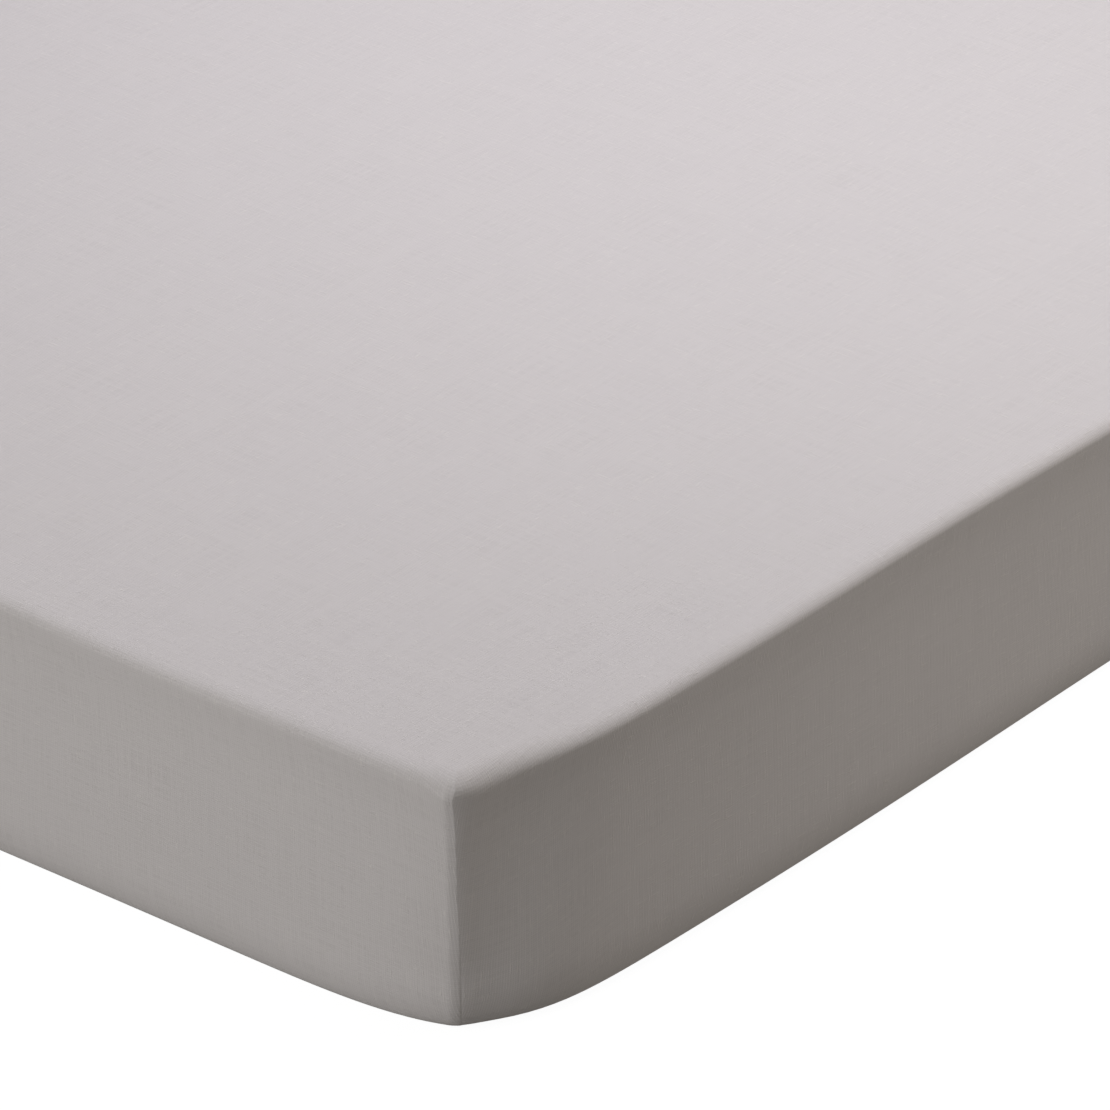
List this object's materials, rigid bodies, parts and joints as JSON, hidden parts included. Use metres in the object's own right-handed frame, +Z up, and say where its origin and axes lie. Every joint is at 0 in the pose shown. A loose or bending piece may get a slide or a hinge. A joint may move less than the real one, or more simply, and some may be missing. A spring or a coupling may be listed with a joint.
{
  "type": "fitted sheet on a mattress",
  "caption": "Fitted cotton sheet stretched over a plain deep mattress, with upright corner seams, rounded lower corners and an elastic hem tucked underneath.",
  "frame": {"origin": "on the floor under the middle of the mattress", "axes": "+Y along the mattress's long walls, +X across it, +Z up out of the sleeping surface"},
  "size_m": [1.5037, 2.0037, 0.2556],
  "materials": {
    "sheet_cotton": "plain-woven cotton, light warm grey, matt with a soft sheen",
    "mattress_ticking": "plain off-white ticking, matt"
  },
  "bodies": {
    "root": {"fitted_sheet": "sheet_cotton", "mattress": "mattress_ticking"}
  },
  "joints": []
}
